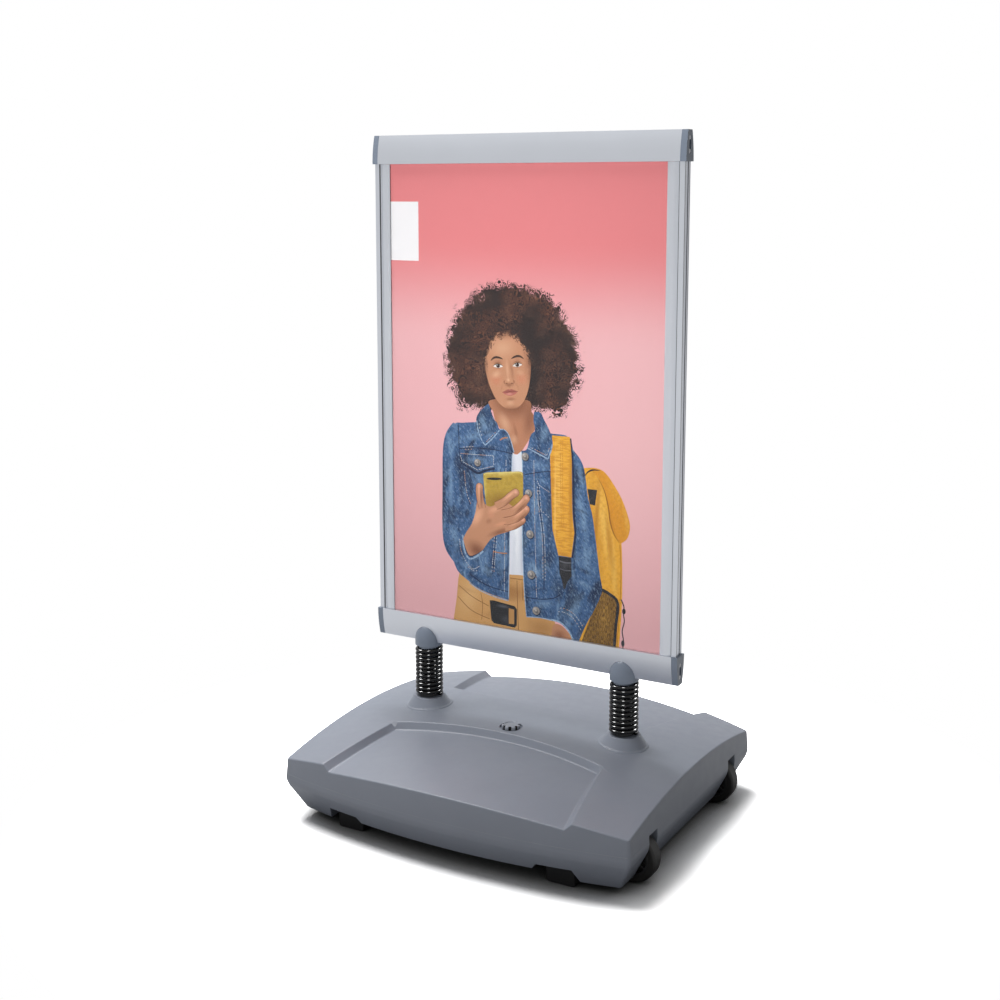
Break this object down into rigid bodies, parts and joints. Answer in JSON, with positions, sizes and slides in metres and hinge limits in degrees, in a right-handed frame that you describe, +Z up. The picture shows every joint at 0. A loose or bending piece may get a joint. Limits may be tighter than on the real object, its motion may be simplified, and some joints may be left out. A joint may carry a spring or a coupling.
{
  "type": "sandwich board",
  "caption": "Double-sided snap-frame poster sign that sways on two coil springs above a low, wheeled water-filled base.",
  "frame": {"origin": "on the ground, under the middle of the sign", "axes": "+X towards the wheels, +Y towards the back of the sign, +Z up"},
  "size_m": [0.735, 0.656, 1.3012],
  "materials": {
    "tank_plastic": "matt, rotation or blow moulded",
    "cap_plastic": "satin blue-grey",
    "dark_plastic": "satin black",
    "runner_rubber": "matt black",
    "tyre_rubber": "matt black",
    "seal_rubber": "matt black",
    "spring_steel": "gloss black powder coat",
    "aluminium": "satin silver anodised",
    "die_cast": "as cast",
    "screw_steel": "zinc plated",
    "leaf_steel": "bright spring steel",
    "brass": "turned",
    "backing_sheet": "white",
    "poster_paper": "printed, matt",
    "cover_sheet": "clear, low glare"
  },
  "bodies": {
    "base": {"tank": "tank_plastic", "runner_left": "runner_rubber", "runner_right": "runner_rubber", "runner_screws": "screw_steel", "wheel_axles": "screw_steel", "axle_keepers": "tank_plastic", "wheel_washers": "screw_steel", "boss_inserts": "brass", "spring_left": "spring_steel", "spring_right": "spring_steel", "spring_plug_left": "dark_plastic", "spring_plug_right": "dark_plastic", "plug_bolts": "screw_steel"},
    "sign": {"spring_holder_left": "cap_plastic", "spring_holder_right": "cap_plastic", "holder_screws": "screw_steel", "nut_plates": "screw_steel", "bottom_rail": "aluminium", "top_rail": "aluminium", "post_left": "aluminium", "post_right": "aluminium", "cap_bottom_left": "cap_plastic", "cap_bottom_right": "cap_plastic", "cap_top_left": "cap_plastic", "cap_top_right": "cap_plastic", "cap_screws": "screw_steel", "corner_connectors": "die_cast", "connector_screws": "screw_steel", "backing_front": "backing_sheet", "backing_back": "backing_sheet", "poster_front": "poster_paper", "poster_back": "poster_paper", "cover_front": "cover_sheet", "cover_back": "cover_sheet", "lid_springs": "leaf_steel"},
    "lid_front_left": {"lid_front_left": "aluminium"},
    "lid_front_right": {"lid_front_right": "aluminium"},
    "lid_back_left": {"lid_back_left": "aluminium"},
    "lid_back_right": {"lid_back_right": "aluminium"},
    "wheel_front": {"wheel_hub_front": "dark_plastic", "wheel_tyre_front": "tyre_rubber"},
    "wheel_back": {"wheel_hub_back": "dark_plastic", "wheel_tyre_back": "tyre_rubber"},
    "filler_lift": {"filler_seal": "seal_rubber"},
    "filler_cap": {"filler_cap": "cap_plastic"}
  },
  "joints": [
    {"name": "sign_sway", "type": "hinge", "parent": "base", "child": "sign", "pos_m": [0, 0, 0.23593], "axis": [1, 0, 0], "range_deg": [-15, 15], "stiffness_Nm_per_rad": 170, "deforming": ["spring_left", "spring_right"]},
    {"name": "lid_front_left_open", "type": "hinge", "parent": "sign", "child": "lid_front_left", "pos_m": [-0.3127, -0.0099, 0.79923], "axis": [0, 0, -1], "range_deg": [0, 75]},
    {"name": "lid_front_right_open", "type": "hinge", "parent": "sign", "child": "lid_front_right", "pos_m": [0.3127, -0.0099, 0.79923], "axis": [0, 0, 1], "range_deg": [0, 75]},
    {"name": "lid_back_left_open", "type": "hinge", "parent": "sign", "child": "lid_back_left", "pos_m": [-0.3127, 0.0099, 0.79923], "axis": [0, 0, 1], "range_deg": [0, 75]},
    {"name": "lid_back_right_open", "type": "hinge", "parent": "sign", "child": "lid_back_right", "pos_m": [0.3127, 0.0099, 0.79923], "axis": [0, 0, -1], "range_deg": [0, 75]},
    {"name": "wheel_front_spin", "type": "hinge", "parent": "base", "child": "wheel_front", "pos_m": [0.327, -0.19, 0.046], "axis": [0, 1, 0], "continuous": true},
    {"name": "wheel_back_spin", "type": "hinge", "parent": "base", "child": "wheel_back", "pos_m": [0.327, 0.19, 0.046], "axis": [0, 1, 0], "continuous": true},
    {"name": "filler_rise", "type": "slide", "parent": "base", "child": "filler_lift", "axis": [0, 0, 1], "range_m": [0, 0.009]},
    {"name": "filler_unscrew", "type": "hinge", "parent": "filler_lift", "child": "filler_cap", "pos_m": [0, -0.048, 0.17], "axis": [0, 0, 1], "range_deg": [0, 1080]}
  ],
  "couplings": [
    {"joint": "filler_rise", "follows": "filler_unscrew", "m_per_rad": 0.00047746}
  ]
}
